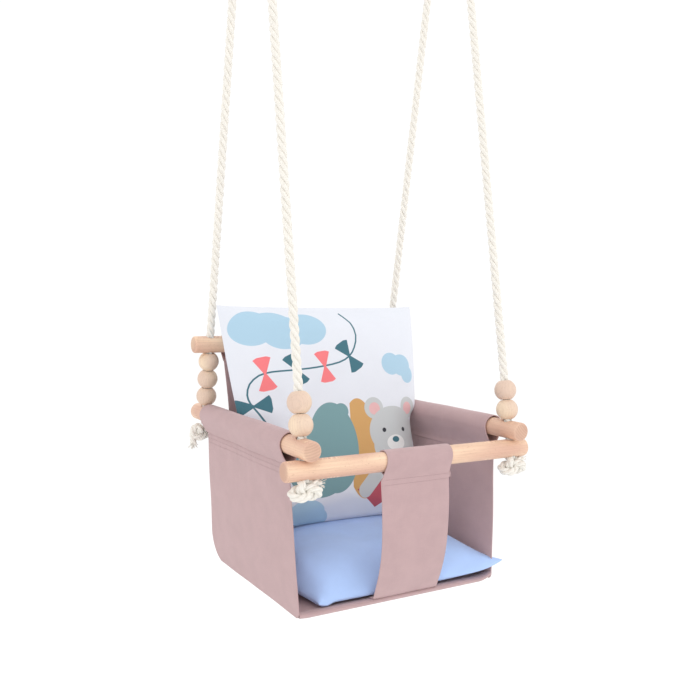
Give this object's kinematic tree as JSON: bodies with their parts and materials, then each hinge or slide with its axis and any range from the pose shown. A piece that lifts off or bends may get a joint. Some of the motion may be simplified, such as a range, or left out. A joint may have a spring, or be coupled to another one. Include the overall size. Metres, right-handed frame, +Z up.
{
  "type": "toddler bucket swing",
  "caption": "Canvas sling toddler swing: wooden dowels and beads on folded ropes, a padded seat and back cushion, a front bar with a crotch strap, and hang rings on top.",
  "frame": {"origin": "midway between the two hang rings, on the line the swing turns about", "axes": "+Z up; -Y is the front, where the child's legs go out; left is -X as seen from the front"},
  "size_m": [0.373, 0.38, 1.2485],
  "materials": {
    "steel": "polished zinc-plated wire",
    "cotton": "twisted natural cotton rope",
    "twine": "waxed cotton twine",
    "beech": "sanded, matt oil",
    "bead_wood": "sanded, matt",
    "canvas": "plain-weave cotton canvas",
    "print_cotton": "printed cotton",
    "blue_cotton": "plain cotton"
  },
  "bodies": {
    "hang_rings": {"left_hang_ring": "steel", "right_hang_ring": "steel"},
    "seat": {"left_rope": "cotton", "left_rope_binding": "twine", "left_side_dowel": "beech", "left_side_panel": "canvas", "left_front_knot": "cotton", "left_rear_knot": "cotton", "right_rope": "cotton", "right_rope_binding": "twine", "right_side_dowel": "beech", "right_side_panel": "canvas", "right_front_knot": "cotton", "right_rear_knot": "cotton", "front_bar": "beech", "back_dowel": "beech", "seat_base": "canvas", "back_panel": "canvas", "front_strap": "canvas"},
    "left_front_bead_1": {"left_front_bead_1": "bead_wood"},
    "left_front_bead_2": {"left_front_bead_2": "bead_wood"},
    "left_rear_bead_1": {"left_rear_bead_1": "bead_wood"},
    "left_rear_bead_2": {"left_rear_bead_2": "bead_wood"},
    "left_rear_bead_3": {"left_rear_bead_3": "bead_wood"},
    "right_front_bead_1": {"right_front_bead_1": "bead_wood"},
    "right_front_bead_2": {"right_front_bead_2": "bead_wood"},
    "right_rear_bead_1": {"right_rear_bead_1": "bead_wood"},
    "right_rear_bead_2": {"right_rear_bead_2": "bead_wood"},
    "right_rear_bead_3": {"right_rear_bead_3": "bead_wood"},
    "seat_cushion": {"seat_cushion": "blue_cotton"},
    "back_cushion": {"back_cushion": "print_cotton"}
  },
  "joints": [
    {"name": "swing", "type": "hinge", "parent": "hang_rings", "child": "seat", "pos_m": [0, 0, 0], "axis": [1, 0, 0], "range_deg": [-45, 45]},
    {"name": "left_front_bead_1_slide", "type": "slide", "parent": "seat", "child": "left_front_bead_1", "axis": [0, 0.1699, 0.9855], "range_m": [0, 0.7]},
    {"name": "left_front_bead_2_slide", "type": "slide", "parent": "left_front_bead_1", "child": "left_front_bead_2", "axis": [0, 0.1699, 0.9855], "range_m": [0, 0.1]},
    {"name": "left_rear_bead_1_spin", "type": "hinge", "parent": "seat", "child": "left_rear_bead_1", "pos_m": [-0.16, 0.15633, -0.9569], "axis": [0, -0.1699, 0.9855], "continuous": true},
    {"name": "left_rear_bead_2_spin", "type": "hinge", "parent": "seat", "child": "left_rear_bead_2", "pos_m": [-0.16, 0.15175, -0.93036], "axis": [0, -0.1699, 0.9855], "continuous": true},
    {"name": "left_rear_bead_3_spin", "type": "hinge", "parent": "seat", "child": "left_rear_bead_3", "pos_m": [-0.16, 0.14717, -0.90381], "axis": [0, -0.1699, 0.9855], "continuous": true},
    {"name": "right_front_bead_1_slide", "type": "slide", "parent": "seat", "child": "right_front_bead_1", "axis": [0, 0.1699, 0.9855], "range_m": [0, 0.7]},
    {"name": "right_front_bead_2_slide", "type": "slide", "parent": "right_front_bead_1", "child": "right_front_bead_2", "axis": [0, 0.1699, 0.9855], "range_m": [0, 0.1]},
    {"name": "right_rear_bead_1_spin", "type": "hinge", "parent": "seat", "child": "right_rear_bead_1", "pos_m": [0.16, 0.15633, -0.9569], "axis": [0, -0.1699, 0.9855], "continuous": true},
    {"name": "right_rear_bead_2_spin", "type": "hinge", "parent": "seat", "child": "right_rear_bead_2", "pos_m": [0.16, 0.15175, -0.93036], "axis": [0, -0.1699, 0.9855], "continuous": true},
    {"name": "right_rear_bead_3_spin", "type": "hinge", "parent": "seat", "child": "right_rear_bead_3", "pos_m": [0.16, 0.14717, -0.90381], "axis": [0, -0.1699, 0.9855], "continuous": true},
    {"name": "seat_cushion_lift", "type": "slide", "parent": "seat", "child": "seat_cushion", "axis": [0, 0, 1], "range_m": [0, 0.1]},
    {"name": "back_cushion_lift", "type": "slide", "parent": "seat_cushion", "child": "back_cushion", "axis": [0, -0.1699, 0.9855], "range_m": [0, 0.12]}
  ]
}
